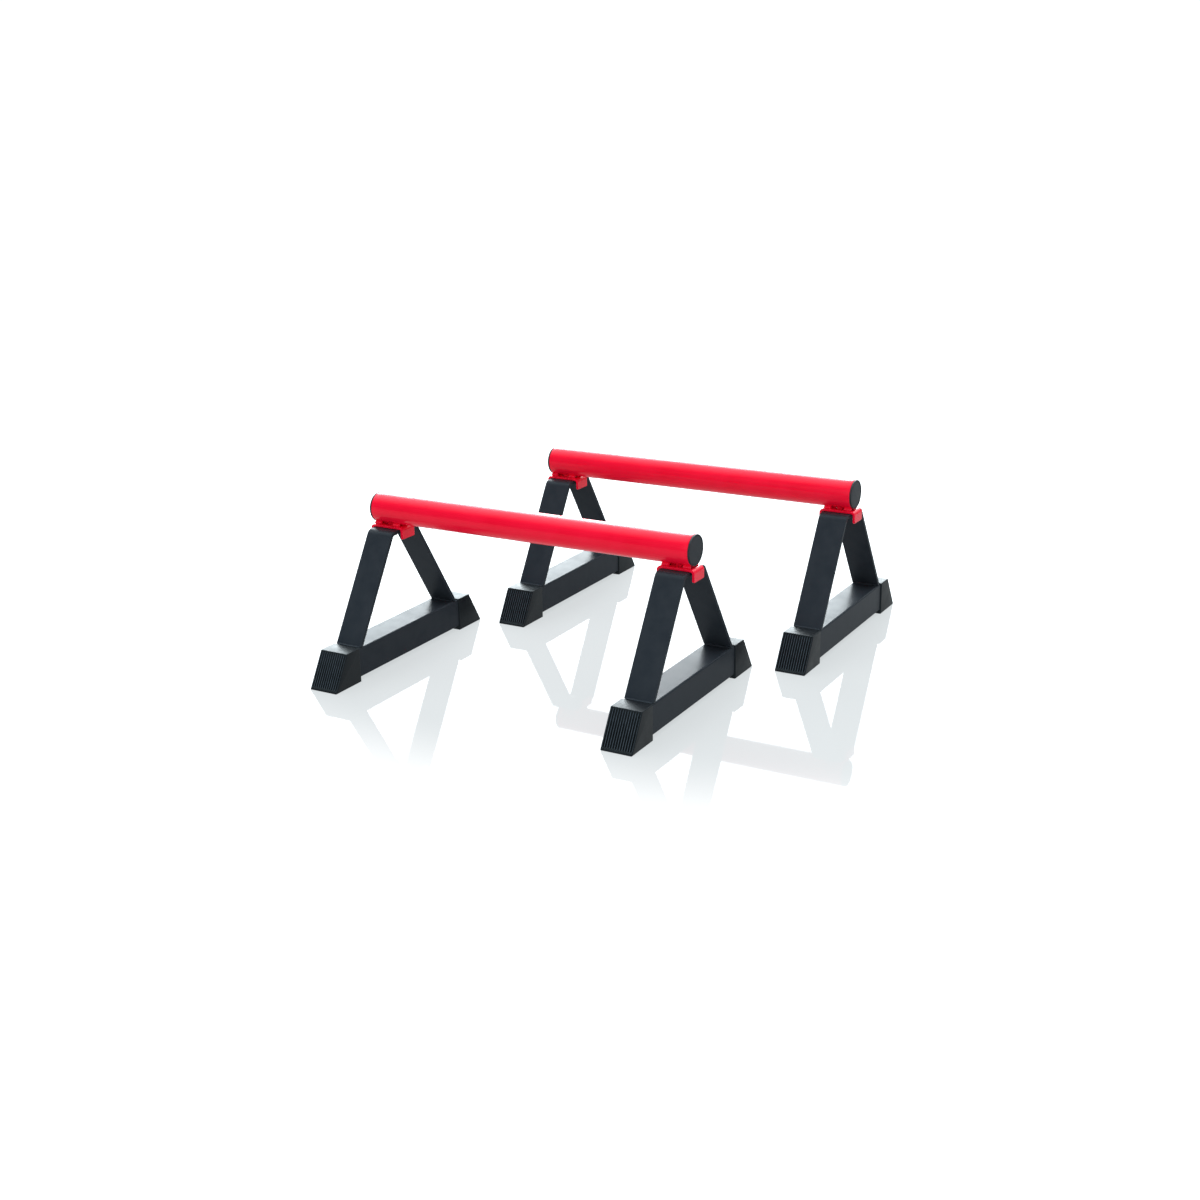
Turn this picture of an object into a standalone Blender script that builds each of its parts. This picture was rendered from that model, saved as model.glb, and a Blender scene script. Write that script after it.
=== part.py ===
"""Pair of low parallel bars (parallettes): two identical free-standing units, in metres, +Z up.

Each unit is a round hand bar on two A-frames. A saddle bracket is welded under each end of the
bar and is bolted down on the flat top of a bent strap, whose two ends stand on a square base
tube with a rubber foot over each end. The origin is on the floor, midway between the units.
"""

import math

import bmesh
import bpy
from mathutils import Matrix, Vector

# Driving dimensions of the pair
BAR_SPACING = 0.417  # between the two bars' centre lines, along Y
STAGGER = 0.096  # how far the rear unit stands to the right of the front one, along X

# Driving dimensions of one unit
BAR_LENGTH = 0.600  # over its end caps
BAR_RADIUS = 0.025
BAR_WALL = 0.0015
FRAME_X = 0.2725  # from the bar's middle to the middle of each A-frame
STRAP_WIDTH = 0.050
STRAP_THICKNESS = 0.006
STRAP_TOP = 0.2275  # height of the strap's flat top
STRAP_FLAT = 0.0343  # from the middle to where the top and the leg's outer face would meet
STRAP_FOOT = 0.139  # from the middle to the leg's outer face on top of the base tube
STRAP_BEND_RADIUS = 0.014  # on the outside of the bend
BASE_TUBE_SIDE = 0.050
BASE_TUBE_WALL = 0.0015
BASE_TUBE_CORNER = 0.003
BASE_TUBE_LENGTH = 0.340
FOOT_PAD = 0.007  # rubber under the base tube
FOOT_WIDTH = 0.054
FOOT_HEIGHT = 0.0585
FOOT_SLEEVE_END = 0.144  # from the middle to where the foot's sleeve starts
FOOT_TOP_END = 0.177  # from the middle to the foot's outer face at its top
FOOT_TOE = 0.2115  # and at the floor
RIB_COUNT = 12
RIB_MARGIN = 0.0015  # plain rubber at each side of the ribs
RIB_DEPTH = 0.0018
RIB_FOOT = 0.0045  # plain rubber along the slope, from the toe to where the ribs start
BRACKET_THICKNESS = 0.004
BRACKET_WIDTH = 0.065  # over its tabs, along X
BRACKET_DEPTH = 0.034  # along Y
BRACKET_TAB_DROP = 0.0203  # from the plate's top to the tabs' lower edge
BRACKET_BEND_RADIUS = 0.0072  # on the outside of the bend
TAB_CORNER = 0.002
BAR_LIFT = 0.002  # the weld beads hold the bar this far above the plate
WELD_LENGTH = 0.012
WELD_INSET = 0.008  # from the bracket's end to the weld bead
WELD_TOE = 0.0155  # from the middle to the bead's outer edge on the plate
WELD_HEIGHT = 0.0065  # above the plate, on the bar's side
WELD_ROOT = -78  # degrees round the bar, from level, to where the bead ends beneath it
CAP_RIM = 0.003  # thickness of the end cap outside the tube
CAP_PLUG = 0.016  # length of the end cap's plug inside the tube
CAP_WALL = 0.002
CAP_EDGE = 0.001  # rounding of the cap's rim
CAP_FIN = 0.0009  # how far the plug's gripping fins stand out
CAP_FIN_COUNT = 2

# M8 fasteners
BOLT_RADIUS = 0.004
BOLT_HOLE_RADIUS = 0.0045
BOLT_LENGTH = 0.025  # under the head
HEX_ACROSS_FLATS = 0.013
BOLT_HEAD_HEIGHT = 0.0053
NUT_HEIGHT = 0.0065
NUT_BORE_RADIUS = 0.0043
NUT_HOLE_RADIUS = 0.0088  # in the bar's lower wall, round the nut
FLAT_WASHER_RADIUS = 0.008
FLAT_WASHER_BORE = 0.0043
FLAT_WASHER_THICKNESS = 0.0016
SPRING_WASHER_RADIUS = 0.0064
SPRING_WASHER_THICKNESS = 0.002
SPRING_WASHER_SPLIT = math.radians(14)

GAP = 0.0003  # between pieces that touch
SMALL = 1e-6  # merge distance
SHARP_ANGLE = math.radians(35)  # edges sharper than this aren't shaded smooth
BAR_ROUND = 48  # sides of the hand bar
CAP_ROUND = 32  # sides of its end caps
SMALL_ROUND = 24  # sides of bolts, washers and their holes, a multiple of 6 for the hexagons

# Heights that follow from the driving dimensions
TUBE_TOP = FOOT_PAD + BASE_TUBE_SIDE
BRACKET_BOTTOM = STRAP_TOP + GAP
BRACKET_TOP = BRACKET_BOTTOM + BRACKET_THICKNESS
BAR_HEIGHT = BRACKET_TOP + BAR_LIFT + BAR_RADIUS
STRAP_UNDERSIDE = STRAP_TOP - STRAP_THICKNESS


def material(name, colour, roughness, metallic=0.0):
    made = bpy.data.materials.new(name)
    made.use_nodes = True
    shader = made.node_tree.nodes["Principled BSDF"]
    shader.inputs["Base Color"].default_value = (*colour, 1.0)
    shader.inputs["Roughness"].default_value = roughness
    shader.inputs["Metallic"].default_value = metallic
    made.diffuse_color = (*colour, 1.0)
    return made


def add_object(name, bm, finish, parent, location=(0, 0, 0)):
    """Turn a bmesh into a smooth-shaded object under its unit's empty."""
    bmesh.ops.remove_doubles(bm, verts=bm.verts, dist=SMALL)
    bmesh.ops.recalc_face_normals(bm, faces=bm.faces)
    mesh = bpy.data.meshes.new(name)
    bm.to_mesh(mesh)
    bm.free()
    mesh.shade_smooth()
    mesh.set_sharp_from_angle(angle=SHARP_ANGLE)
    mesh.materials.append(finish)
    made = bpy.data.objects.new(name, mesh)
    bpy.context.scene.collection.objects.link(made)
    made.parent = parent
    made.location = location
    return made


def extrude_outline(outline, plane, low, high):
    """Prism of an outline. Plane "YZ" takes (y, z) points and runs along X, "XZ" runs along Y."""
    axis, place = {
        "YZ": (Vector((1, 0, 0)), lambda u, v: Vector((low, u, v))),
        "XZ": (Vector((0, 1, 0)), lambda u, v: Vector((u, low, v))),
    }[plane]
    bm = bmesh.new()
    face = bm.faces.new([bm.verts.new(place(u, v)) for u, v in outline])
    extruded = bmesh.ops.extrude_face_region(bm, geom=[face])["geom"]
    moved = [item for item in extruded if isinstance(item, bmesh.types.BMVert)]
    bmesh.ops.translate(bm, verts=moved, vec=axis * (high - low))
    return bm


def turn_profile(profile, steps, axis="X"):
    """Solid of revolution. The profile is a list of (along the axis, radius) points."""
    along, across = {"X": ((1, 0, 0), (0, 0, 1)), "Z": ((0, 0, 1), (1, 0, 0))}[axis]
    along, across = Vector(along), Vector(across)
    bm = bmesh.new()
    points = [bm.verts.new(along * a + across * r) for a, r in profile]
    edges = [bm.edges.new(pair) for pair in zip(points, points[1:])]
    if min(profile[0][1], profile[-1][1]) > SMALL:
        edges.append(bm.edges.new((points[-1], points[0])))
    bmesh.ops.spin(
        bm, geom=points + edges, cent=(0, 0, 0), axis=along, angle=math.tau, steps=steps, use_merge=True
    )
    return bm


def arc(centre, radius, start, end, steps):
    """Points on a circle from one angle to another, in degrees."""
    angles = [math.radians(start + (end - start) * i / steps) for i in range(steps + 1)]
    return [(centre[0] + radius * math.cos(a), centre[1] + radius * math.sin(a)) for a in angles]


def circle(radius, z):
    """Points round Z at one height."""
    angles = [math.tau * number / SMALL_ROUND for number in range(SMALL_ROUND)]
    return [(radius * math.cos(a), radius * math.sin(a), z) for a in angles]


def hexagon(z):
    """As many points as a circle has, on the outline of the bolt's or nut's hexagon."""
    sixth = math.pi / 3
    points = []
    for x, y, _ in circle(HEX_ACROSS_FLATS / 2, z):
        from_flat = math.atan2(y, x) % sixth - sixth / 2
        points.append((x / math.cos(from_flat), y / math.cos(from_flat), z))
    return points


def loft(rings, closed=False):
    """Join rings of points one to the next. A closed loft is a tube, and an open one has end faces."""
    bm = bmesh.new()
    loops = [[bm.verts.new(point) for point in ring] for ring in rings]
    following = loops[1:] + loops[:1] if closed else loops[1:]
    for loop, other in zip(loops, following):
        for number, point in enumerate(loop):
            after = (number + 1) % len(loop)
            bm.faces.new((point, loop[after], other[after], other[number]))
    if not closed:
        bm.faces.new(loops[0])
        bm.faces.new(loops[-1])
    return bm


def rounded_rectangle(half_u, half_v, radius, centre_v=0.0, steps=4):
    corners = [(1, 1, 0), (-1, 1, 90), (-1, -1, 180), (1, -1, 270)]
    points = []
    for sign_u, sign_v, start in corners:
        centre = (sign_u * (half_u - radius), centre_v + sign_v * (half_v - radius))
        points += arc(centre, radius, start, start + 90, steps)
    return points


def add_cutter(name, bm, parent, location=(0, 0, 0)):
    made = add_object(name, bm, None, parent, location)
    made.hide_render = True
    made.display_type = "WIRE"
    return made


def boolean(target, cutter, operation="DIFFERENCE"):
    modifier = target.modifiers.new(cutter.name, "BOOLEAN")
    modifier.object = cutter
    modifier.operation = operation


def bolt_hole(name, radius, low, high, parent, location):
    bm = turn_profile([(low, 0), (low, radius), (high, radius), (high, 0)], SMALL_ROUND, "Z")
    return add_cutter(name, bm, parent, location)


def bar_tube(unit, prefix):
    half = BAR_LENGTH / 2 - CAP_RIM - GAP
    inner = BAR_RADIUS - BAR_WALL
    profile = [(-half, inner), (half, inner), (half, BAR_RADIUS), (-half, BAR_RADIUS)]
    bm = turn_profile(profile, BAR_ROUND)
    tube = add_object(prefix + "bar_tube", bm, RED_COAT, unit, (0, 0, BAR_HEIGHT))
    for side in (-1, 1):
        hole = bolt_hole(
            prefix + "nut_hole", NUT_HOLE_RADIUS, -2 * BAR_RADIUS, -BAR_RADIUS / 2,
            unit, (side * FRAME_X, 0, BAR_HEIGHT),
        )
        boolean(tube, hole)


def end_cap(unit, name, side):
    """Rim outside the tube, and a hollow plug with gripping fins inside it."""
    plug = BAR_RADIUS - BAR_WALL - GAP - CAP_FIN
    fin = plug + CAP_FIN
    bore = plug - CAP_WALL
    outside = BAR_RADIUS - GAP
    inner_end = -CAP_RIM - CAP_PLUG
    face = arc((-CAP_EDGE, outside - CAP_EDGE), CAP_EDGE, 0, 90, 3)
    profile = [(0, 0), *face, (-CAP_RIM, outside), (-CAP_RIM, plug)]
    for number in range(CAP_FIN_COUNT):
        middle = -CAP_RIM - CAP_PLUG * (number + 1) / (CAP_FIN_COUNT + 1)
        profile += [(middle + CAP_FIN, plug), (middle, fin), (middle - CAP_FIN, plug)]
    profile += [(inner_end, plug), (inner_end, bore), (-CAP_RIM, bore), (-CAP_RIM, 0)]
    bm = turn_profile(profile, CAP_ROUND)
    cap = add_object(name, bm, BLACK_PLASTIC, unit, (side * BAR_LENGTH / 2, 0, BAR_HEIGHT))
    if side < 0:
        cap.rotation_euler = (0, 0, math.pi)


def bracket_outline():
    """Channel open downwards, in XZ, with rounded bends."""
    half, inner_radius = BRACKET_WIDTH / 2, BRACKET_BEND_RADIUS - BRACKET_THICKNESS
    low = BRACKET_TOP - BRACKET_TAB_DROP
    bend = (half - BRACKET_BEND_RADIUS, BRACKET_TOP - BRACKET_BEND_RADIUS)
    right = [(half, low), *arc(bend, BRACKET_BEND_RADIUS, 0, 90, 6)]
    inside = [*arc(bend, inner_radius, 90, 0, 3), (half - BRACKET_THICKNESS, low)]
    left = [(-x, z) for x, z in reversed(right)]
    under = [(-x, z) for x, z in reversed(inside)]
    return right + left + under + inside


def weld_outline(side):
    """Fillet between the plate's top and the bar's underside, in YZ."""
    reach = BAR_RADIUS + GAP
    top = math.degrees(math.asin((BAR_HEIGHT - BRACKET_TOP - WELD_HEIGHT) / reach))
    hollow = arc((0, BAR_HEIGHT), reach, -top, WELD_ROOT, 4)
    sunk = BRACKET_TOP - BRACKET_THICKNESS / 2
    points = [(WELD_TOE, sunk), (WELD_TOE, BRACKET_TOP), *hollow, (hollow[-1][0], sunk)]
    return [(side * y, z) for y, z in points]


def bracket(unit, name, side):
    """Bent plate with two tabs and four weld beads."""
    where = (side * FRAME_X, 0, 0)
    half_depth = BRACKET_DEPTH / 2
    bm = extrude_outline(bracket_outline(), "XZ", -half_depth, half_depth)
    low = BRACKET_TOP - BRACKET_TAB_DROP
    corners = [
        edge for edge in bm.edges
        if all(abs(v.co.z - low) < SMALL and abs(abs(v.co.y) - half_depth) < SMALL for v in edge.verts)
        and abs(edge.verts[0].co.y - edge.verts[1].co.y) < SMALL
    ]
    bmesh.ops.bevel(bm, geom=corners, offset=TAB_CORNER, segments=3, profile=0.5, affect="EDGES")
    plate = add_object(name, bm, RED_COAT, unit, where)
    weld_middle = BRACKET_WIDTH / 2 - WELD_INSET - WELD_LENGTH / 2
    for end in (-1, 1):
        for face in (-1, 1):
            low_x = end * weld_middle - WELD_LENGTH / 2
            bead = extrude_outline(weld_outline(face), "YZ", low_x, low_x + WELD_LENGTH)
            boolean(plate, add_cutter(name + "_weld", bead, unit, where), "UNION")
    hole = bolt_hole(name + "_hole", BOLT_HOLE_RADIUS, STRAP_TOP - GAP, BAR_HEIGHT, unit, where)
    boolean(plate, hole)


def strap_outline():
    """Flat-topped inverted V in YZ: outer face left to right, then the inner face back."""
    lean = math.atan2(STRAP_TOP - TUBE_TOP - GAP, STRAP_FOOT - STRAP_FLAT)
    lean_degrees = math.degrees(lean)
    bend = STRAP_FLAT - STRAP_BEND_RADIUS * math.tan(lean / 2)
    centre = (bend, STRAP_TOP - STRAP_BEND_RADIUS)
    inner_radius = STRAP_BEND_RADIUS - STRAP_THICKNESS
    foot = TUBE_TOP + GAP
    inner_foot = STRAP_FOOT - STRAP_THICKNESS / math.sin(lean)
    outer = [*arc(centre, STRAP_BEND_RADIUS, 90, 90 - lean_degrees, 6), (STRAP_FOOT, foot)]
    inner = [(inner_foot, foot), *arc(centre, inner_radius, 90 - lean_degrees, 90, 6)]
    right = outer + inner
    return right + [(-y, z) for y, z in reversed(right)]


def frame_strap(unit, name, side):
    outline = strap_outline()
    bm = extrude_outline(outline, "YZ", -STRAP_WIDTH / 2, STRAP_WIDTH / 2)
    where = (side * FRAME_X, 0, 0)
    strap = add_object(name, bm, BLACK_COAT, unit, where)
    hole = bolt_hole(name + "_hole", BOLT_HOLE_RADIUS, STRAP_UNDERSIDE / 2, BRACKET_TOP, unit, where)
    boolean(strap, hole)


def base_tube(unit, name, side):
    """Square hollow section, open at both ends."""
    half, end = BASE_TUBE_SIDE / 2, BASE_TUBE_LENGTH / 2
    inner, middle = half - BASE_TUBE_WALL, FOOT_PAD + half
    outside = rounded_rectangle(half, half, BASE_TUBE_CORNER, middle)
    inside = rounded_rectangle(inner, inner, BASE_TUBE_CORNER - BASE_TUBE_WALL, middle)
    walls = ((outside, -end), (outside, end), (inside, end), (inside, -end))
    bm = loft([[(x, y, z) for x, z in outline] for outline, y in walls], closed=True)
    add_object(name, bm, BLACK_COAT, unit, (side * FRAME_X, 0, 0))


def rib_grooves(unit, name, where):
    """Slots down the foot's sloping face, which leave the ribs standing between them.

    They run out at the foot's top and stop short of its toe, so the underside stays a plain rectangle.
    """
    slope = math.atan2(FOOT_TOE - FOOT_TOP_END, FOOT_HEIGHT)
    toe, top = Vector((0, FOOT_TOE, 0)), Vector((0, FOOT_TOP_END, FOOT_HEIGHT))
    uphill = (top - toe).normalized()
    low, high = toe + uphill * RIB_FOOT, top + uphill * RIB_FOOT
    pitch = (FOOT_WIDTH - 2 * RIB_MARGIN) / RIB_COUNT
    size = (pitch / 2, 2 * RIB_DEPTH, (high - low).length)
    middle = (low + high) / 2
    bm = bmesh.new()
    for number in range(RIB_COUNT):
        x = -FOOT_WIDTH / 2 + RIB_MARGIN + (number + 0.5) * pitch
        place = Matrix.Translation(middle + Vector((x, 0, 0))) @ Matrix.Rotation(slope, 4, "X")
        bmesh.ops.create_cube(bm, size=1, matrix=place @ Matrix.Diagonal((*size, 1)))
    return add_cutter(name + "_grooves", bm, unit, where)


def rubber_foot(unit, name, side, end):
    """Ribbed wedge with a square sleeve for the base tube. It is drawn for the far end."""
    side_view = [
        (FOOT_SLEEVE_END, 0), (FOOT_TOE, 0), (FOOT_TOP_END, FOOT_HEIGHT), (FOOT_SLEEVE_END, FOOT_HEIGHT),
    ]
    bm = extrude_outline(side_view, "YZ", -FOOT_WIDTH / 2, FOOT_WIDTH / 2)
    where = (side * FRAME_X, 0, 0)
    foot = add_object(name, bm, BLACK_RUBBER, unit, where)
    half = BASE_TUBE_SIDE / 2 + GAP
    socket_outline = rounded_rectangle(half, half, BASE_TUBE_CORNER, FOOT_PAD + BASE_TUBE_SIDE / 2)
    socket_end = BASE_TUBE_LENGTH / 2 + GAP
    socket = extrude_outline(socket_outline, "XZ", FOOT_SLEEVE_END - BASE_TUBE_SIDE, socket_end)
    cutters = [add_cutter(name + "_socket", socket, unit, where), rib_grooves(unit, name, where)]
    for cutter in cutters:
        boolean(foot, cutter)
    if end < 0:
        for piece in (foot, *cutters):
            piece.rotation_euler = (0, 0, math.pi)


def weld_nut(unit, name, side):
    """Nut inside the bar, welded on the plate and coated with it."""
    outside = [hexagon(0), hexagon(NUT_HEIGHT)]
    bore = [circle(NUT_BORE_RADIUS, NUT_HEIGHT), circle(NUT_BORE_RADIUS, 0)]
    nut = loft(outside + bore, closed=True)
    add_object(name, nut, RED_COAT, unit, (side * FRAME_X, 0, BRACKET_TOP + GAP))


def flat_washer(unit, name, side):
    low, high = -FLAT_WASHER_THICKNESS, 0
    profile = [(low, FLAT_WASHER_BORE), (high, FLAT_WASHER_BORE)]
    profile += [(high, FLAT_WASHER_RADIUS), (low, FLAT_WASHER_RADIUS)]
    bm = turn_profile(profile, SMALL_ROUND, "Z")
    add_object(name, bm, ZINC, unit, (side * FRAME_X, 0, STRAP_UNDERSIDE - GAP))


def spring_washer(unit, name, side):
    """Square-section ring with one split."""
    bm = bmesh.new()
    section = [
        (FLAT_WASHER_BORE, -SPRING_WASHER_THICKNESS), (SPRING_WASHER_RADIUS, -SPRING_WASHER_THICKNESS),
        (SPRING_WASHER_RADIUS, 0), (FLAT_WASHER_BORE, 0),
    ]
    face = bm.faces.new([bm.verts.new((r, 0, z)) for r, z in section])
    bmesh.ops.spin(
        bm, geom=[face], cent=(0, 0, 0), axis=(0, 0, 1),
        angle=math.tau - SPRING_WASHER_SPLIT, steps=SMALL_ROUND, use_duplicate=False,
    )
    top = STRAP_UNDERSIDE - FLAT_WASHER_THICKNESS - 2 * GAP
    add_object(name, bm, ZINC, unit, (side * FRAME_X, 0, top))


def bolt(unit, name, side):
    """Hex head below, shank upwards through the washers, strap, bracket and nut."""
    head_top = STRAP_UNDERSIDE - FLAT_WASHER_THICKNESS - SPRING_WASHER_THICKNESS - 3 * GAP
    head = [hexagon(-BOLT_HEAD_HEIGHT), hexagon(0)]
    shank = [circle(BOLT_RADIUS, 0), circle(BOLT_RADIUS, BOLT_LENGTH)]
    add_object(name, loft(head + shank), ZINC, unit, (side * FRAME_X, 0, head_top))


def parallette(prefix, location):
    """One free-standing unit, on an empty that carries all of its pieces."""
    unit = bpy.data.objects.new(prefix + "unit", None)
    unit.location = location
    bpy.context.scene.collection.objects.link(unit)
    bar_tube(unit, prefix)
    for side, side_name in ((-1, "left_"), (1, "right_")):
        place = prefix + side_name
        end_cap(unit, place + "end_cap", side)
        bracket(unit, place + "bracket", side)
        weld_nut(unit, place + "weld_nut", side)
        bolt(unit, place + "bolt", side)
        spring_washer(unit, place + "spring_washer", side)
        flat_washer(unit, place + "flat_washer", side)
        frame_strap(unit, place + "frame_strap", side)
        base_tube(unit, place + "base_tube", side)
        rubber_foot(unit, place + "foot_near", side, -1)
        rubber_foot(unit, place + "foot_far", side, 1)


for old in list(bpy.data.objects):
    bpy.data.objects.remove(old, do_unlink=True)

RED_COAT = material("red_powder_coat", (0.92, 0.0045, 0.033), 0.22)
BLACK_COAT = material("black_powder_coat", (0.027, 0.033, 0.041), 0.30)
BLACK_PLASTIC = material("black_plastic", (0.018, 0.022, 0.028), 0.47)
BLACK_RUBBER = material("black_rubber", (0.017, 0.021, 0.026), 0.41)
ZINC = material("zinc_plated_steel", (0.55, 0.55, 0.52), 0.35, 1.0)

parallette("front_", (-STAGGER / 2, -BAR_SPACING / 2, 0))
parallette("rear_", (STAGGER / 2, BAR_SPACING / 2, 0))
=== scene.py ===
"""Looks of a pair of low parallel bars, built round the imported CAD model, in metres, +Z up.

Each visible CAD solid is replaced by a finer mesh with rounded edges in the same place. Weld
beads under the A-frames' legs and a thin root weld under each bar are added, and the nuts inside
the bars stay as CAD solids.
"""

import math

import bmesh
import bpy
from mathutils import Matrix, Vector


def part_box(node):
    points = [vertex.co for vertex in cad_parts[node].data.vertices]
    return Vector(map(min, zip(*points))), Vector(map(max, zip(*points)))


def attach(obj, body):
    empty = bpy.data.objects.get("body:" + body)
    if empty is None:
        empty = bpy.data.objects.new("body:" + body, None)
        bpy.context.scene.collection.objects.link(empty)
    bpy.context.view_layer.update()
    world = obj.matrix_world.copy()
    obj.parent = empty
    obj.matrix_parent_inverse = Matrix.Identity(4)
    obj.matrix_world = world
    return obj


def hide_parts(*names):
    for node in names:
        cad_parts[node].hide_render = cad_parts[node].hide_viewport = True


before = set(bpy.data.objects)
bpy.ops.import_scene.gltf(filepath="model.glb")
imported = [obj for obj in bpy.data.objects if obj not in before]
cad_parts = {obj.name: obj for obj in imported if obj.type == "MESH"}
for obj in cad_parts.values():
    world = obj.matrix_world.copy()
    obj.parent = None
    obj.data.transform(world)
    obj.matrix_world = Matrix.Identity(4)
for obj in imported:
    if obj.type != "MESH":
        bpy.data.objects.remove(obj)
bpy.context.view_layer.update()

# Camera, in the frame's metres
CAMERA_PLACE = Vector((1.309, -2.335, 0.964))
CAMERA_YAW = math.radians(30.0)  # turned left from looking along +Y
CAMERA_PITCH = math.radians(-18.25)
CAMERA_ROLL = math.radians(-1.17)
CAMERA_LENS = 48.85  # mm, on a sensor 36 mm wide
CAMERA_SENSOR = 36.0
CAMERA_FAR_CLIP = 200

# Studio: the light from everywhere, and soft boxes of (way to it, dot products with that way where
# its edge begins and ends, added brightness). A brightness of 1 is white.
ROOM_LIGHT = 0.14
LIGHT_COLOUR = (0.90, 0.97, 1.0)
SEEN_LIGHT = 1.15  # strength of the room to the camera, which sees it as plain white
SOFT_BOXES = (
    ((-0.50, 0.85, 0.44), 0.89, 0.97, 7.9),  # behind
    ((-0.50, 0.85, 0.05), 0.50, 0.90, 0.6),  # backdrop
    ((-0.22, 0.38, 0.90), 0.40, 0.95, 3.0),  # overhead, towards the back
    ((0.15, -0.88, 0.40), 0.78, 0.95, 1.35),  # in front
    ((1.00, -0.10, 0.30), 0.20, 0.80, 0.25),  # to the right
)
FLOOR_COLOUR = (0.10, 0.10, 0.10)
FLOOR_GLOW = (0.60, 0.63, 0.64)
FLOOR_FAR_GLOW = (1.0, 1.0, 1.0)
FLOOR_MIDDLE = (-0.25, 2.0, 0.0)
FLOOR_FADE = (2.42, 2.77)  # distances from that place at which the glow begins to grow, and is full
FLOOR_LIGHT = 0.75  # share of that glow which lights the pieces
FLOOR_ROUGHNESS = 0.03
FLOOR_IOR = 1.15
FLOOR_SIZE = 40  # from its middle to each edge
FLOOR_DROP = 0.0002  # keeps it clear of the feet's undersides

# Sizes that a CAD box doesn't give, in metres

# Hand bar and its caps
BAR_WALL = 0.0015
BAR_END_ROUND = 0.0011
BAR_END_STEPS = 4
BAR_STEP = 0.012  # between the bar's rings
NUT_HOLE_RADIUS = 0.0088
CAP_ROUND = 0.0009
CAP_ROUND_STEPS = 5
CAP_RIM_WIDTH = 0.0016
CAP_GROOVE = 0.0004
CAP_DOME = 0.0006
CAP_DOME_STEPS = 10
CAP_RIM = 0.003
CAP_WALL = 0.002

# Bracket under the bar
TAB_DROP = 0.0203  # from the plate's top to the tabs' lower edges
TAB_CORNER = 0.002
TAB_CORNER_STEPS = 6
PLATE = 0.004
PLATE_BEND = 0.0072
PLATE_BEND_STEPS = (10, 4)  # outside and inside
SADDLE_WELD_LENGTH = 0.0125
SADDLE_WELD_INSET = 0.008  # from the plate's end
SADDLE_WELD_RIPPLE = 0.0021
SADDLE_WELD_PLACE = (0.0121, 0.0026)  # to either side of the bar's middle, and above the plate
SADDLE_WELD_HALF = (0.0042, 0.0034)  # half width and half height
BAR_LIFT = 0.002  # between the plate and the bar
ROOT_RUN = (0.0076, 0.0245)  # thin weld in that gap, from and to these distances from the bolt
ROOT_HALF = (0.0030, 0.0016)

# A-frame
STRAP = 0.006
STRAP_FLAT = 0.0343  # half length of its flat top, were its bends sharp
STRAP_BEND = 0.014
STRAP_BEND_STEPS = 14
FOOT_WELD_MARGIN = 0.0015  # from the strap's edge to the bead's end
FOOT_WELD_RIPPLE = 0.0024
OUTER_FOOT_WELD = (0.0002, 0.0024, 0.0017)  # inward from the strap's face, half width, half height
INNER_FOOT_WELD = (0.0004, 0.0022, 0.0022)

# Weld beads
RIPPLE_STEPS = 6
RIPPLE_SWELL = 0.12  # share of the bead's size
RIPPLE_LAG = 0.3  # how far its sides trail behind its crest, against the bead's half width
BEAD_SIDES = 20
BEAD_TIP = 0.2  # size of a bead's ends against its middle
BEAD_TAPER = 6  # power, higher for blunter ends
BEAD_WANDER = (  # waves in its size: share of it, radians along the bead, radians per metre aside
    (0.10, 7.3, 40),
    (0.06, 23, 0),
)

# Base tube and rubber feet
TUBE_WALL = 0.0015
TUBE_CORNER = 0.003
FOOT_SLOPE_RUN = 0.0345  # along the floor, under the ribbed face
FOOT_PAD = 0.007  # rubber under the tube
FOOT_ROUND = 0.0016
FOOT_ROUND_STEPS = 5
FOOT_CORNER_STEPS = 6
FOOT_TOE_ROUND = 0.0008
FOOT_LEAST_ROUND = 0.0002
FOOT_TUBE_END = 0.170  # from the tube's middle
FOOT_MOUTH = 0.01  # how far the cut for the tube starts outside the sleeve
RIB_COUNT = 12
RIB_SAMPLES = 8
RIB_MARGIN = 0.0015
RIB_DEPTH = 0.0018
RIB_STEEPNESS = (1.6, 1.5)  # a factor that flattens the grooves' floors, and a power
RIB_START = 0.0045  # along the slope, from the toe
RIB_END = 0.0012  # and from the top
RIB_FADE = 0.0018
SLOPE_STEPS = (0.05, 0.065, 0.08, 0.10, 0.5, 0.95, 0.98)  # extra points along the slope
ON_SLOPE = 0.0007  # a point this near the sloping face takes part in the ribs
SLOPE_MATCH = 0.99  # least dot product of a line along the slope with the slope's way

# Fasteners
HEX_FLATS = 0.013
HEX_CHAMFER = 1.6 * math.tan(math.radians(30))
HEX_FACE = 0.93  # the head's flat round face, against its flats
HEX_FACE_DROP = 0.00035
BOLT_HEAD = 0.0053
BOLT_HOLE = 0.0045
BOLT_RADIUS = 0.004
BOLT_POINT = 0.001
WASHER_BORE = 0.0043
WASHER_SOFT = 0.0002
SPLIT = math.radians(14)
SPLIT_STEPS = 60

# All pieces
BAR_SIDES = 96
HOLE_SIDES = 48
HEX_SIDES = 96
WASHER_SIDES = 64
GAP = 0.0003
SMALL = 1e-6
EDGE_ROUND = 0.0007
EDGE_ROUND_STEPS = 3
ROUNDED = math.radians(30)  # edges that turn by more are rounded
SHARP = math.radians(40)  # edges that turn by more are shaded sharp
RIB_SHADE = "rib_shade"  # mesh attribute: 1 on the crest of a rib, -1 in its groove, 0 elsewhere; it paints a highlight on the crests and shade in the grooves
# how strongly the crests are painted lighter and the grooves painted darker, as painted highlight
# and shade
RIB_SHADE_CONTRAST = 10.0


# Mesh tools

def arc(centre, radius, start, end, steps):
    """Points on a circle from one angle to another, in degrees."""
    angles = [math.radians(start + (end - start) * i / steps) for i in range(steps + 1)]
    return [(centre[0] + radius * math.cos(a), centre[1] + radius * math.sin(a)) for a in angles]


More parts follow.
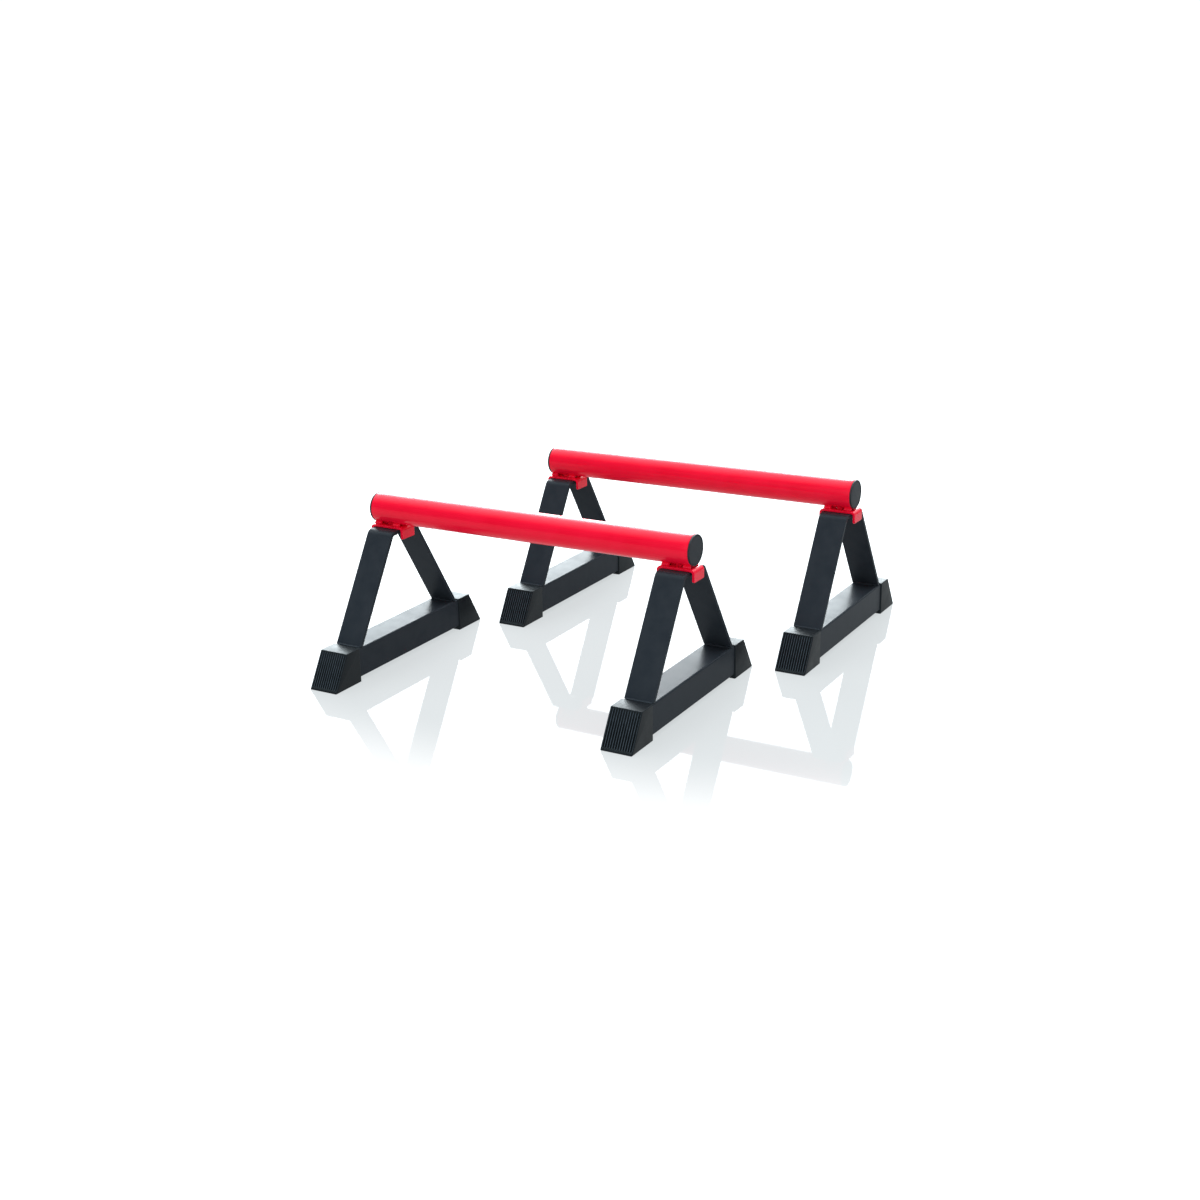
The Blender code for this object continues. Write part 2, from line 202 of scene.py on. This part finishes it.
def circle(radius, z, sides):
    angles = [math.tau * number / sides for number in range(sides)]
    return [(radius * math.cos(a), radius * math.sin(a), z) for a in angles]


def loft(rings, closed=False):
    """Join rings of points one to the next, each of one size or a single point at a tip.

    A closed loft is a tube, and an open one has end faces.
    """
    bm = bmesh.new()
    loops = [[bm.verts.new(point) for point in ring] for ring in rings]
    following = loops[1:] + loops[:1] if closed else loops[1:]
    for loop, other in zip(loops, following):
        for number in range(max(len(loop), len(other))):
            corners = [ring[at % len(ring)] for ring, at in (
                (loop, number), (loop, number + 1), (other, number + 1), (other, number),
            )]
            bm.faces.new(list(dict.fromkeys(corners)))
    if not closed:
        for loop in (loops[0], loops[-1]):
            if len(loop) > 1:
                bm.faces.new(loop)
    return bm


def turn(profile, sides, axis):
    """Solid of revolution about the X or Z axis from (along, radius) points.

    A profile that starts and ends on the axis closes there, and any other is a ring.
    """
    rings = []
    for along, radius in profile:
        ring = circle(radius, along, sides) if radius > 0 else [(0, 0, along)]
        rings.append([(z, y, x) for x, y, z in ring] if axis == "X" else ring)
    return loft(rings, closed=profile[0][1] > 0)


def extrude(outline, half_width, plane):
    """Prism of an outline, centred on the axis that it runs along: X for "YZ", Y for "XZ"."""
    place = {
        "YZ": lambda u, v, along: (along, u, v),
        "XZ": lambda u, v, along: (u, along, v),
    }[plane]
    ends = (-half_width, half_width)
    return loft([[place(u, v, along) for u, v in outline] for along in ends])


def rounded_rectangle(half_u, half_v, radius, centre_v, steps=8):
    corners = [(1, 1, 0), (-1, 1, 90), (-1, -1, 180), (1, -1, 270)]
    points = []
    for sign_u, sign_v, start in corners:
        centre = (sign_u * (half_u - radius), centre_v + sign_v * (half_v - radius))
        points += arc(centre, radius, start, start + 90, steps)
    return points


def round_edges(bm):
    """Bevel every edge that turns by more than a small angle."""
    bmesh.ops.remove_doubles(bm, verts=bm.verts, dist=SMALL)
    bmesh.ops.recalc_face_normals(bm, faces=bm.faces)
    edges = [e for e in bm.edges if e.calc_face_angle(0) > ROUNDED]
    bmesh.ops.bevel(
        bm, geom=edges, offset=EDGE_ROUND, segments=EDGE_ROUND_STEPS, profile=0.5, affect="EDGES",
        clamp_overlap=True,
    )
    return bm


def in_scene(name, bm, place, half_turn=False):
    """Object of a bmesh, which is used up. A half turn is about the upright axis."""
    mesh = bpy.data.meshes.new(name)
    bm.to_mesh(mesh)
    bm.free()
    made = bpy.data.objects.new(name, mesh)
    bpy.context.scene.collection.objects.link(made)
    made.location = place
    if half_turn:
        made.rotation_euler = (0, 0, math.pi)
    return made


def piece(name, bm, finish, body, place, half_turn=False, stands_for=()):
    """Piece of a bmesh that rides on a CAD body and stands for CAD nodes."""
    bmesh.ops.remove_doubles(bm, verts=bm.verts, dist=SMALL)
    bmesh.ops.recalc_face_normals(bm, faces=bm.faces)
    made = in_scene(name, bm, place, half_turn)
    made.data.shade_smooth()
    made.data.set_sharp_from_angle(angle=SHARP)
    made.data.materials.append(finish)
    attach(made, body)
    if stands_for:
        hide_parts(*stands_for)
    return made


def drill(radius, low, high):
    """Cutter for an upright round hole."""
    return loft([circle(radius, z, HOLE_SIDES) for z in (low, high)])


def cut(target, bm, place, half_turn=False):
    """Take a shape away from a piece for good, then remove the cutter."""
    bmesh.ops.recalc_face_normals(bm, faces=bm.faces)
    cutter = in_scene("cutter", bm, place, half_turn)
    modifier = target.modifiers.new("cut", "BOOLEAN")
    modifier.object = cutter
    bpy.context.view_layer.update()
    evaluated = target.evaluated_get(bpy.context.evaluated_depsgraph_get())
    made = bpy.data.meshes.new_from_object(evaluated)
    made.set_sharp_from_angle(angle=SHARP)
    target.modifiers.clear()
    target.data = made
    bpy.data.objects.remove(cutter)


def even_normals(target):
    """Keep big flat faces flat beside their rounded edges."""
    modifier = target.modifiers.new("even_normals", "WEIGHTED_NORMAL")
    modifier.keep_sharp = True


# Materials

PATCH_DETAIL = 4  # of the noise behind colour and roughness
GRAIN_DETAIL = 3  # of the noise behind a bump
NOISE_RANGE = (0.3, 0.7)  # where nearly all noise lies


def shader_of(name, roughness, metallic, specular):
    made = bpy.data.materials.new(name)
    made.use_nodes = True
    shader = made.node_tree.nodes["Principled BSDF"]
    shader.inputs["Roughness"].default_value = roughness
    shader.inputs["Metallic"].default_value = metallic
    shader.inputs["Specular IOR Level"].default_value = specular
    return made, shader


def calculate(tree, operation, *terms):
    """Math node of numbers or sockets."""
    node = tree.nodes.new("ShaderNodeMath")
    node.operation = operation
    for socket, term in zip(node.inputs, terms):
        if isinstance(term, (int, float)):
            socket.default_value = term
        else:
            tree.links.new(term, socket)
    return node.outputs["Value"]


def noise(tree, per_metre, detail):
    """Noise in the object's own metres."""
    where = tree.nodes.new("ShaderNodeTexCoord")
    texture = tree.nodes.new("ShaderNodeTexNoise")
    texture.inputs["Scale"].default_value = per_metre
    texture.inputs["Detail"].default_value = detail
    tree.links.new(where.outputs["Object"], texture.inputs["Vector"])
    return texture.outputs["Fac"]


def ramp(tree, source, low, high, start=0.35, end=0.65):
    """Colours from low to high as the source goes from start to end."""
    node = tree.nodes.new("ShaderNodeValToRGB")
    stops = node.color_ramp.elements
    stops[0].position, stops[0].color = start, (*low, 1)
    stops[1].position, stops[1].color = end, (*high, 1)
    tree.links.new(source, node.inputs["Fac"])
    return node.outputs["Color"]


def spread(tree, source, low, high):
    """Number from low to high as noise goes through its range."""
    node = tree.nodes.new("ShaderNodeMapRange")
    node.inputs["From Min"].default_value = NOISE_RANGE[0]
    node.inputs["From Max"].default_value = NOISE_RANGE[1]
    node.inputs["To Min"].default_value = low
    node.inputs["To Max"].default_value = high
    tree.links.new(source, node.inputs["Value"])
    return node.outputs["Result"]


def smooth_step(tree, source, start, end):
    """Number that goes smoothly from 0 to 1 as the source goes from start to end."""
    node = tree.nodes.new("ShaderNodeMapRange")
    node.interpolation_type = "SMOOTHSTEP"
    node.inputs["From Min"].default_value = start
    node.inputs["From Max"].default_value = end
    tree.links.new(source, node.inputs["Value"])
    return node.outputs["Result"]


def bump(tree, source, height, before=None):
    node = tree.nodes.new("ShaderNodeBump")
    node.inputs["Strength"].default_value = 1.0
    node.inputs["Distance"].default_value = height
    tree.links.new(source, node.inputs["Height"])
    if before:
        tree.links.new(before, node.inputs["Normal"])
    return node.outputs["Normal"]


def rib_shaded(tree, colour):
    """Colour with painted highlight and shade: lighter where the mesh's rib attribute is above 0,
    on the rib crests, and darker where it is below 0, in the grooves.
    """
    rib_shade = tree.nodes.new("ShaderNodeAttribute")
    rib_shade.attribute_name = RIB_SHADE
    node = tree.nodes.new("ShaderNodeVectorMath")
    node.operation = "SCALE"
    tree.links.new(colour, node.inputs[0])
    scale = calculate(tree, "POWER", RIB_SHADE_CONTRAST, rib_shade.outputs["Fac"])
    tree.links.new(scale, node.inputs["Scale"])
    return node.outputs["Vector"]


def finished(
    name, low, high, roughness, specular, grains, patches, metallic=0.0, rib_shading=False, tint=(1, 1, 1)
):
    """Finish with patchy colour and roughness, and one bump for each (per metre, height) grain."""
    made, shader = shader_of(name, roughness[0], metallic, specular)
    shader.inputs["Specular Tint"].default_value = (*tint, 1)
    tree = made.node_tree
    patch = noise(tree, patches, PATCH_DETAIL)
    colour = ramp(tree, patch, low, high)
    # Where asked, the base colour gets a painted highlight on the rubber's rib crests and painted
    # shade in its grooves.
    tree.links.new(rib_shaded(tree, colour) if rib_shading else colour, shader.inputs["Base Color"])
    tree.links.new(spread(tree, patch, *roughness), shader.inputs["Roughness"])
    normal = None
    for per_metre, height in grains:
        normal = bump(tree, noise(tree, per_metre, GRAIN_DETAIL), height, normal)
    tree.links.new(normal, shader.inputs["Normal"])
    return made


RED_COAT = finished(
    "red_powder_coat", (0.90, 0.0035, 0.030), (0.94, 0.0050, 0.036), (0.18, 0.25), 0.60,
    grains=[(420, 0.000016), (1700, 0.000004)], patches=24, tint=(1, 0.22, 0.26),
)
BLACK_COAT = finished(
    "black_powder_coat", (0.0205, 0.0255, 0.0325), (0.026, 0.031, 0.038), (0.30, 0.38), 0.07,
    grains=[(1500, 0.000012), (5200, 0.000004)], patches=40, tint=(0.76, 0.94, 1),
)
BLACK_PLASTIC = finished(
    "black_plastic", (0.015, 0.019, 0.025), (0.021, 0.026, 0.032), (0.42, 0.52), 0.24,
    grains=[(3600, 0.000014)], patches=90,
)
# The rubber's base colour is painted lighter on the rib crests and darker in the grooves, as
# painted highlight and shade.
BLACK_RUBBER = finished(
    "black_rubber", (0.0044, 0.0056, 0.0072), (0.0062, 0.0078, 0.0098), (0.36, 0.46), 0.22,
    grains=[(420, 0.000060), (4200, 0.000010)], patches=60, rib_shading=True, tint=(0.76, 0.94, 1),
)
ZINC = finished(
    "zinc_plate", (0.50, 0.52, 0.52), (0.64, 0.63, 0.58), (0.22, 0.36), 0.5,
    grains=[(2600, 0.000010)], patches=300, metallic=1.0,
)


# Pieces

def hand_bar(prefix, body, frame_places):
    """Thin-walled tube with softened ends and a hole over each nut."""
    low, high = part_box(prefix + "bar_tube")
    centre = (low + high) / 2
    half, radius = (high.x - low.x) / 2, (high.z - low.z) / 2
    inner = radius - BAR_WALL
    soft = BAR_END_ROUND
    count = round(2 * (half - soft) / BAR_STEP)
    steps = [(2 * number / count - 1) * (half - soft) for number in range(1, count)]
    end = arc((half - soft, radius - soft), soft, 90, 0, BAR_END_STEPS)
    outside = [(-x, r) for x, r in reversed(end)] + [(x, radius) for x in steps] + end
    inside = [(half, inner)] + [(x, inner) for x in reversed(steps)] + [(-half, inner)]
    bar = piece(
        prefix + "hand_bar", turn(outside + inside, BAR_SIDES, "X"), RED_COAT, body,
        centre, stands_for=[prefix + "bar_tube"],
    )
    for x in frame_places:
        cut(bar, drill(NUT_HOLE_RADIUS, -2 * radius, -radius / 2), (x, centre.y, centre.z))


def cap(place, body, side):
    """Plug with a raised rim, a fine groove and a low dome."""
    low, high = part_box(place + "end_cap")
    outer = high.x if side > 0 else low.x
    length = high.x - low.x
    radius = (high.z - low.z) / 2
    plug = radius - BAR_WALL - 2 * GAP
    dome_edge = radius - CAP_RIM_WIDTH - CAP_ROUND
    dome = [
        (-CAP_DOME * (r / dome_edge) ** 2, r)
        for r in (dome_edge * step / CAP_DOME_STEPS for step in range(CAP_DOME_STEPS + 1))
    ]
    rim = arc((-CAP_ROUND, radius - CAP_ROUND), CAP_ROUND, 0, 90, CAP_ROUND_STEPS)
    groove = [(-CAP_DOME - CAP_GROOVE, dome_edge + CAP_GROOVE), (0, dome_edge + 2 * CAP_GROOVE)]
    back = [
        (-CAP_RIM, radius), (-CAP_RIM, plug), (-length, plug),
        (-length, plug - CAP_WALL), (-CAP_RIM, plug - CAP_WALL), (-CAP_RIM, 0),
    ]
    profile = [*dome, *groove, *rim, *back]
    centre = (low + high) / 2
    piece(
        place + "cap_moulding", turn(profile, BAR_SIDES, "X"), BLACK_PLASTIC, body,
        (outer, centre.y, centre.z), half_turn=side < 0,
        stands_for=[place + "end_cap"],
    )


def bead(start, end, middle, half, ripples):
    """Row of overlapping, slightly uneven ripples along X, tapered at both ends.

    Its section is an ellipse about a (y, z) middle, with half its width and height given.
    """
    across, upright = half
    steps = ripples * RIPPLE_STEPS
    rings = []
    for step in range(steps + 1):
        share = step / steps
        taper = math.sqrt(max(1 - abs(2 * share - 1) ** BEAD_TAPER, BEAD_TIP**2))
        wander = sum(
            size * math.sin(along * share + aside * middle[0])
            for size, along, aside in BEAD_WANDER
        )
        swell = 1 + wander + RIPPLE_SWELL * abs(math.sin(math.pi * ripples * share))
        ring = []
        for number in range(BEAD_SIDES):
            angle = math.tau * number / BEAD_SIDES
            lag = RIPPLE_LAG * across * abs(math.cos(angle)) * taper
            ring.append((
                start + (end - start) * share - lag,
                middle[0] + across * taper * swell * math.cos(angle),
                middle[1] + upright * taper * swell * math.sin(angle),
            ))
        rings.append(ring)
    return loft(rings)


def join(meshes):
    """One bmesh of several."""
    whole = bmesh.new()
    for part in meshes:
        mesh = bpy.data.meshes.new("part")
        part.to_mesh(mesh)
        part.free()
        whole.from_mesh(mesh)
        bpy.data.meshes.remove(mesh)
    return whole


def saddle(place, body, unit_y):
    """Bent plate with two tabs, and the weld beads that hold it to the bar."""
    low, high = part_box(place + "bracket")
    half, depth = (high.x - low.x) / 2, (high.y - low.y) / 2
    centre = Vector(((low.x + high.x) / 2, unit_y, 0))
    bottom, top = low.z, low.z + TAB_DROP
    bend = (half - PLATE_BEND, top - PLATE_BEND)
    outer_steps, inner_steps = PLATE_BEND_STEPS
    right = [(half, bottom), *arc(bend, PLATE_BEND, 0, 90, outer_steps)]
    inside = [*arc(bend, PLATE_BEND - PLATE, 90, 0, inner_steps), (half - PLATE, bottom)]
    left = [(-x, z) for x, z in reversed(right)]
    under = [(-x, z) for x, z in reversed(inside)]
    bm = extrude(right + left + under + inside, depth, "XZ")
    corners = [
        e for e in bm.edges
        if all(abs(v.co.z - bottom) < SMALL and abs(abs(v.co.y) - depth) < SMALL for v in e.verts)
        and abs(e.verts[0].co.y - e.verts[1].co.y) < SMALL
    ]
    bmesh.ops.bevel(
        bm, geom=corners, offset=TAB_CORNER, segments=TAB_CORNER_STEPS, profile=0.5,
        affect="EDGES",
    )
    plate = piece(
        place + "saddle", round_edges(bm), RED_COAT, body, centre,
        stands_for=[place + "bracket"],
    )
    cut(plate, drill(BOLT_HOLE, bottom, top + PLATE), centre)
    even_normals(plate)
    reach = SADDLE_WELD_LENGTH / 2
    middle = half - SADDLE_WELD_INSET - reach
    ripples = round(SADDLE_WELD_LENGTH / SADDLE_WELD_RIPPLE)
    aside, rise = SADDLE_WELD_PLACE
    beads = [
        bead(end * middle - reach, end * middle + reach, (face * aside, top + rise),
             SADDLE_WELD_HALF, ripples)
        for end in (-1, 1) for face in (-1, 1)
    ]
    for run in (ROOT_RUN, (-ROOT_RUN[1], -ROOT_RUN[0])):
        beads.append(bead(*run, (0, top + BAR_LIFT / 2), ROOT_HALF, ripples))
    piece(place + "saddle_welds", join(beads), RED_COAT, body, centre)


def a_frame(place, body):
    """Flat bar bent to a flat-topped inverted V, and the weld beads along its two feet."""
    low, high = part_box(place + "frame_strap")
    centre = Vector(((low.x + high.x) / 2, (low.y + high.y) / 2, 0))
    half, foot = (high.x - low.x) / 2, (high.y - low.y) / 2
    top, bottom = high.z, low.z
    lean = math.atan2(top - bottom, foot - STRAP_FLAT)
    turned = math.degrees(lean)
    bend = (STRAP_FLAT - STRAP_BEND * math.tan(lean / 2), top - STRAP_BEND)
    inner_foot = foot - STRAP / math.sin(lean)
    steps = STRAP_BEND_STEPS
    outer = [*arc(bend, STRAP_BEND, 90, 90 - turned, steps), (foot, bottom)]
    inner = [(inner_foot, bottom), *arc(bend, STRAP_BEND - STRAP, 90 - turned, 90, steps)]
    right = outer + inner
    outline = right + [(-y, z) for y, z in reversed(right)]
    strap = piece(
        place + "a_frame", round_edges(extrude(outline, half, "YZ")), BLACK_COAT, body,
        centre, stands_for=[place + "frame_strap"],
    )
    cut(strap, drill(BOLT_HOLE, bottom, top + STRAP), centre)
    even_normals(strap)
    reach = half - FOOT_WELD_MARGIN
    ripples = round(2 * reach / FOOT_WELD_RIPPLE)
    beads = []
    for side in (-1, 1):
        for face, (inward, *size) in ((foot, OUTER_FOOT_WELD), (inner_foot, INNER_FOOT_WELD)):
            beads.append(bead(-reach, reach, (side * (face - inward), bottom), size, ripples))
    piece(place + "foot_welds", join(beads), BLACK_COAT, body, centre)


def base_rail(place, body):
    """Square tube, open at both ends inside its rubber feet."""
    low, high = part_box(place + "base_tube")
    centre = (low + high) / 2
    half, length = (high.x - low.x) / 2, (high.y - low.y) / 2
    outside = rounded_rectangle(half, half, TUBE_CORNER, 0)
    inside = rounded_rectangle(half - TUBE_WALL, half - TUBE_WALL, TUBE_CORNER - TUBE_WALL, 0)
    walls = ((outside, -length), (outside, length), (inside, length), (inside, -length))
    rings = [[(x, y, z) for x, z in outline] for outline, y in walls]
    rail = piece(
        place + "base_rail", loft(rings, closed=True), BLACK_COAT, body,
        centre, stands_for=[place + "base_tube"],
    )
    even_normals(rail)


def rounded_polygon(corners, radii, inset):
    """Points of a convex outline, drawn in by an inset, with each corner rounded."""
    count = len(corners)
    lines = []
    for number in range(count):
        a, b = Vector(corners[number]), Vector(corners[(number + 1) % count])
        along = (b - a).normalized()
        inward = Vector((-along.y, along.x))
        lines.append((a + inward * inset, along, inward))
    points = []
    for number in range(count):
        p, d, n = lines[number - 1]
        q, e, m = lines[number]
        radius = max(radii[number] - inset, FOOT_LEAST_ROUND)
        p, q = p + n * radius, q + m * radius
        reach = (q - p).cross(e) / d.cross(e)
        middle = p + d * reach
        start, turned = math.atan2(-n.y, -n.x), d.angle_signed(e)
        for step in range(FOOT_CORNER_STEPS + 1):
            angle = start - turned * step / FOOT_CORNER_STEPS
            points.append((
                middle.x + radius * math.cos(angle), middle.y + radius * math.sin(angle)
            ))
    return points


def rib_dip(x, half):
    """How far the foot's sloping face is drawn in at a place across it, or None beside the ribs."""
    inner = half - RIB_MARGIN
    if abs(x) > inner:
        return None
    pitch = 2 * inner / RIB_COUNT
    phase = ((x + inner) / pitch) % 1.0
    wave = 0.5 - 0.5 * math.cos(math.tau * phase)
    factor, power = RIB_STEEPNESS
    return RIB_DEPTH * min(1.0, factor * wave) ** power


def foot(place, body, end_name, end):
    """Ribbed wedge with a sleeve over the end of the base tube. It is drawn for the far end."""
    node = place + "foot_" + end_name
    low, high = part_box(node)
    tube_low, tube_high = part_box(place + "base_tube")
    centre = Vector(((low.x + high.x) / 2, (tube_low.y + tube_high.y) / 2, 0))
    half, height = (high.x - low.x) / 2, high.z
    near, far = sorted((abs(low.y - centre.y), abs(high.y - centre.y)))
    corners = [(near, 0), (far, 0), (far - FOOT_SLOPE_RUN, height), (near, height)]
    radii = [FOOT_TOE_ROUND, FOOT_TOE_ROUND, FOOT_ROUND, FOOT_TOE_ROUND]
    slope = Vector((-FOOT_SLOPE_RUN, height))
    slope_length = slope.length
    slope_way = slope / slope_length
    inward = Vector((-slope_way.y, slope_way.x))
    ribbed, flat = half - RIB_MARGIN, half - FOOT_ROUND
    samples = RIB_COUNT * RIB_SAMPLES
    across = [-ribbed + 2 * ribbed * number / samples for number in range(samples + 1)]
    rounded = []
    for step in range(FOOT_ROUND_STEPS):
        angle = math.pi / 2 * step / FOOT_ROUND_STEPS
        rounded.append((-flat - FOOT_ROUND * math.cos(angle), FOOT_ROUND * (1 - math.sin(angle))))
    middle = [(x, 0.0) for x in (-flat, *(x for x in across if abs(x) < flat), flat)]
    rings, rib_shade = [], []
    for x, inset in rounded + middle + [(-x, inset) for x, inset in reversed(rounded)]:
        outline = rounded_polygon(corners, radii, inset)
        ring, ring_shade = ribbed_ring(
            outline, x, rib_dip(x, half), corners[1], slope_way, inward, slope_length
        )
        rings.append(ring)
        rib_shade += ring_shade
    bm = loft(rings)
    # Store the painted highlight on rib crests and painted shade in the grooves on each point.
    layer = bm.verts.layers.float.new(RIB_SHADE)
    for vertex, amount in zip(bm.verts, rib_shade):
        vertex[layer] = amount
    made = piece(
        place + end_name + "_rubber_foot", bm, BLACK_RUBBER, body,
        centre, half_turn=end < 0, stands_for=[node],
    )
    side = (tube_high.x - tube_low.x) / 2 + GAP
    socket = rounded_rectangle(side, side, TUBE_CORNER, FOOT_PAD + side - GAP)
    reach = (near - FOOT_MOUTH, FOOT_TUBE_END + GAP)
    cut(made, loft([[(x, y, z) for x, z in socket] for y in reach]), centre, half_turn=end < 0)


def ribbed_ring(outline, x, dip, toe, slope_way, inward, slope_length):
    """One section of the foot and its painted rib highlight and shade, with the sloping face drawn
    in by the rib's dip.
    """
    points = []
    count = len(outline)
    for number, (y, z) in enumerate(outline):
        points.append(Vector((y, z)))
        following = Vector(outline[(number + 1) % count])
        step = following - Vector((y, z))
        if step.length > slope_length / 2 and step.normalized().dot(slope_way) > SLOPE_MATCH:
            points += [Vector((y, z)) + step * share for share in SLOPE_STEPS]
    ring, rib_shade = [], []
    for point in points:
        along = (point - Vector(toe)).dot(slope_way)
        off = (point - Vector(toe)).dot(inward)
        clear = min(along - RIB_START, slope_length - along - RIB_END)
        fade = min(1.0, max(0.0, clear / RIB_FADE))
        shaded_by = 0.0
        if off < ON_SLOPE and dip is not None:
            point = point + inward * dip * fade
            # 1 on a crest, painted lighter as a highlight, and -1 in a groove, painted darker as
            # shade.
            shaded_by = (1 - 2 * dip / RIB_DEPTH) * fade
        ring.append((x, point.x, point.y))
        rib_shade.append(shaded_by)
    return ring, rib_shade


def hex_ring(z, chamfered=False):
    """Hexagon with many points. A chamfered one rises towards its corners."""
    flats, sixth = HEX_FLATS / 2, math.pi / 3
    points = []
    for x, y, _ in circle(flats, z, HEX_SIDES):
        from_flat = math.atan2(y, x) % sixth - sixth / 2
        stretch = 1 / math.cos(from_flat)
        rise = (stretch - 1) * flats * HEX_CHAMFER if chamfered else 0.0
        points.append((x * stretch, y * stretch, z + rise))
    return points


def fasteners(place, body):
    """Chamfered hex bolt, flat washer and split spring washer."""
    low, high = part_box(place + "bolt")
    centre = Vector(((low.x + high.x) / 2, (low.y + high.y) / 2, low.z))
    tip = high.z - low.z
    rings = [
        circle(HEX_FLATS / 2 * HEX_FACE, 0, HEX_SIDES),
        hex_ring(HEX_FACE_DROP, chamfered=True),
        hex_ring(BOLT_HEAD),
        circle(BOLT_RADIUS, BOLT_HEAD, HEX_SIDES),
        circle(BOLT_RADIUS, tip - BOLT_POINT, HEX_SIDES),
        circle(BOLT_RADIUS - BOLT_POINT, tip, HEX_SIDES),
    ]
    piece(
        place + "hex_bolt", loft(rings), ZINC, body,
        centre, stands_for=[place + "bolt"],
    )
    low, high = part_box(place + "flat_washer")
    thick, radius = high.z - low.z, (high.x - low.x) / 2
    profile = [
        (0, WASHER_BORE), (0, radius - WASHER_SOFT), (WASHER_SOFT, radius),
        (thick - WASHER_SOFT, radius), (thick, radius - WASHER_SOFT), (thick, WASHER_BORE),
    ]
    piece(
        place + "plain_washer", turn(profile, WASHER_SIDES, "Z"), ZINC, body,
        (centre.x, centre.y, low.z), stands_for=[place + "flat_washer"],
    )
    low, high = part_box(place + "spring_washer")
    thick, radius = high.z - low.z, (high.x - low.x) / 2
    middle, half_width = (radius + WASHER_BORE) / 2, (radius - WASHER_BORE) / 2
    section = rounded_rectangle(half_width, thick / 2, WASHER_SOFT, thick / 2, steps=2)
    rings = []
    for step in range(SPLIT_STEPS + 1):
        angle = SPLIT / 2 + (math.tau - SPLIT) * step / SPLIT_STEPS
        rings.append([
            ((middle + r) * math.cos(angle), (middle + r) * math.sin(angle), z) for r, z in section
        ])
    piece(
        place + "split_washer", loft(rings), ZINC, body,
        (centre.x, centre.y, low.z), stands_for=[place + "spring_washer"],
    )


def unit(prefix, body):
    """Every piece of one free-standing unit."""
    strap_boxes = [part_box(prefix + side + "frame_strap") for side in ("left_", "right_")]
    frame_places = [(low.x + high.x) / 2 for low, high in strap_boxes]
    unit_y = (strap_boxes[0][0].y + strap_boxes[0][1].y) / 2
    hand_bar(prefix, body, frame_places)
    for side, side_name in ((-1, "left_"), (1, "right_")):
        place = prefix + side_name
        cap(place, body, side)
        saddle(place, body, unit_y)
        a_frame(place, body)
        base_rail(place, body)
        foot(place, body, "near", -1)
        foot(place, body, "far", 1)
        fasteners(place, body)
        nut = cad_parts[place + "weld_nut"]
        nut.data.materials.clear()
        nut.data.materials.append(RED_COAT)


# Surroundings

def studio_floor():
    """Pale polished floor, lit from below and most far off, which mirrors the object faintly."""
    made, shader = shader_of("studio_floor", FLOOR_ROUGHNESS, 0.0, 0.5)
    shader.inputs["Base Color"].default_value = (*FLOOR_COLOUR, 1)
    shader.inputs["IOR"].default_value = FLOOR_IOR
    tree = made.node_tree
    away = tree.nodes.new("ShaderNodeVectorMath")
    away.operation = "DISTANCE"
    away.inputs[1].default_value = FLOOR_MIDDLE
    tree.links.new(tree.nodes.new("ShaderNodeTexCoord").outputs["Object"], away.inputs[0])
    far = smooth_step(tree, away.outputs["Value"], *FLOOR_FADE)
    glow_colour = ramp(tree, far, FLOOR_GLOW, FLOOR_FAR_GLOW, 0, 1)
    tree.links.new(glow_colour, shader.inputs["Emission Color"])
    seen = tree.nodes.new("ShaderNodeLightPath").outputs["Is Camera Ray"]
    glow = calculate(tree, "MAXIMUM", seen, FLOOR_LIGHT)
    tree.links.new(glow, shader.inputs["Emission Strength"])
    bm = bmesh.new()
    bmesh.ops.create_grid(bm, x_segments=2, y_segments=2, size=FLOOR_SIZE)
    floor = in_scene("studio_floor", bm, (0, 0, -FLOOR_DROP))
    floor.data.materials.append(made)


def towards(tree, source, way, start, end):
    """Smooth 0 to 1 as a direction turns towards a way, from one dot product to another."""
    dot = tree.nodes.new("ShaderNodeVectorMath")
    dot.operation = "DOT_PRODUCT"
    dot.inputs[1].default_value = Vector(way).normalized()
    tree.links.new(source, dot.inputs[0])
    return smooth_step(tree, dot.outputs["Value"], start, end)


def studio():
    """Soft light, bright behind and dim in front to the left. The camera sees plain white."""
    world = bpy.data.worlds.new("studio")
    world.use_nodes = True
    tree = world.node_tree
    way = tree.nodes.new("ShaderNodeTexCoord").outputs["Generated"]
    light = ROOM_LIGHT
    for box_way, start, end, brightness in SOFT_BOXES:
        box = towards(tree, way, box_way, start, end)
        light = calculate(tree, "ADD", light, calculate(tree, "MULTIPLY", box, brightness))
    seen = tree.nodes.new("ShaderNodeLightPath").outputs["Is Camera Ray"]
    unseen = calculate(tree, "MULTIPLY", light, calculate(tree, "SUBTRACT", 1, seen))
    light = calculate(tree, "ADD", unseen, calculate(tree, "MULTIPLY", seen, SEEN_LIGHT))
    tree.nodes["Background"].inputs["Color"].default_value = (*LIGHT_COLOUR, 1)
    tree.links.new(light, tree.nodes["Background"].inputs["Strength"])
    bpy.context.scene.world = world
    studio_floor()
    bpy.context.scene.view_settings.view_transform = "Standard"


def camera():
    lens = bpy.data.cameras.new("camera")
    lens.lens = CAMERA_LENS
    lens.sensor_width = CAMERA_SENSOR
    lens.clip_end = CAMERA_FAR_CLIP
    made = bpy.data.objects.new("camera", lens)
    yaw = Matrix.Rotation(CAMERA_YAW, 4, "Z")
    pitch = Matrix.Rotation(math.pi / 2 + CAMERA_PITCH, 4, "X")
    roll = Matrix.Rotation(CAMERA_ROLL, 4, "Z")
    made.matrix_world = Matrix.Translation(CAMERA_PLACE) @ yaw @ pitch @ roll
    bpy.context.scene.collection.objects.link(made)
    bpy.context.scene.camera = made


camera()
studio()
unit("front_", "front_unit")
unit("rear_", "rear_unit")
